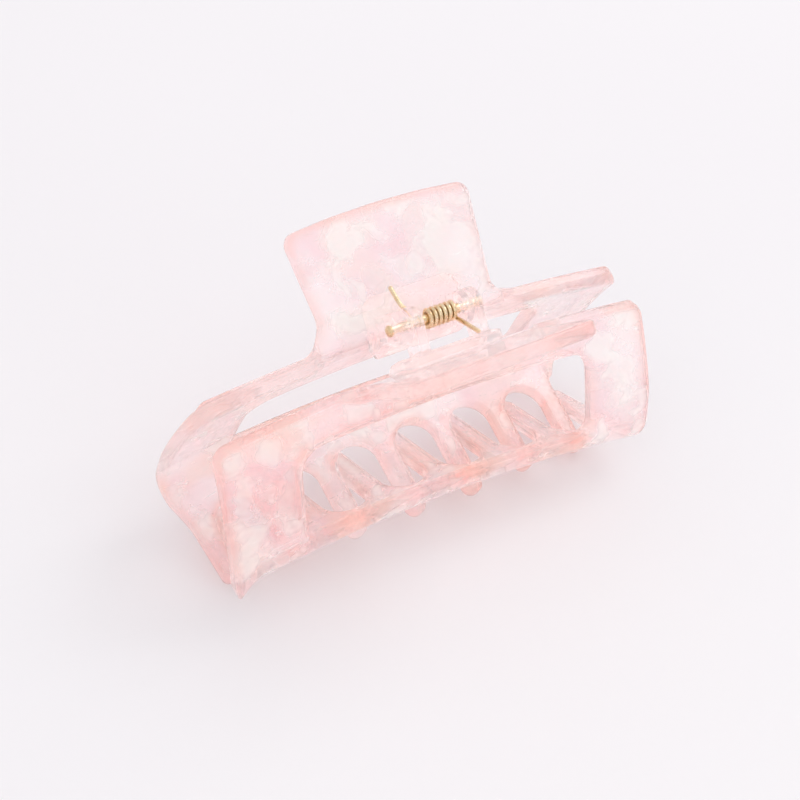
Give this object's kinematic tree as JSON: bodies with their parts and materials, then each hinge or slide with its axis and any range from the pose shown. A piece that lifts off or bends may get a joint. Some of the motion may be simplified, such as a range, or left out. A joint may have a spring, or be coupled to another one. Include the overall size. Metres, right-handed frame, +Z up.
{
  "type": "claw clip",
  "caption": "Spring-loaded hair claw clip: two curved translucent jaws with windows and crossing tines, squeezed open by two flared handles.",
  "frame": {"origin": "centre of the clip's outline seen from above, on the plane the tine tips stand on", "axes": "+X along the hinge pin, +Y from the front jaw to the rear jaw, +Z up from the tine tips to the handles"},
  "size_m": [0.102, 0.0506, 0.0618],
  "materials": {
    "rear_acetate": "polished marbled pink acetate, translucent",
    "front_acetate": "polished marbled pink acetate, translucent",
    "rear_clear_plastic": "clear moulded plastic",
    "front_clear_plastic": "clear moulded plastic",
    "pin_metal": "bright gold-coloured metal",
    "spring_metal": "bright gold-coloured spring wire"
  },
  "bodies": {
    "rear_half": {"rear_jaw": "rear_acetate", "rear_hinge_bracket": "rear_clear_plastic", "hinge_pin": "pin_metal", "torsion_spring": "spring_metal"},
    "front_half": {"front_jaw": "front_acetate", "front_hinge_bracket": "front_clear_plastic"}
  },
  "joints": [
    {"name": "opening", "type": "hinge", "parent": "rear_half", "child": "front_half", "pos_m": [0, 0, 0.05035], "axis": [-1, 0, 0], "range_deg": [0, 60], "stiffness_Nm_per_rad": 0.14, "springref_deg": -32.66, "deforming": ["torsion_spring"]}
  ]
}
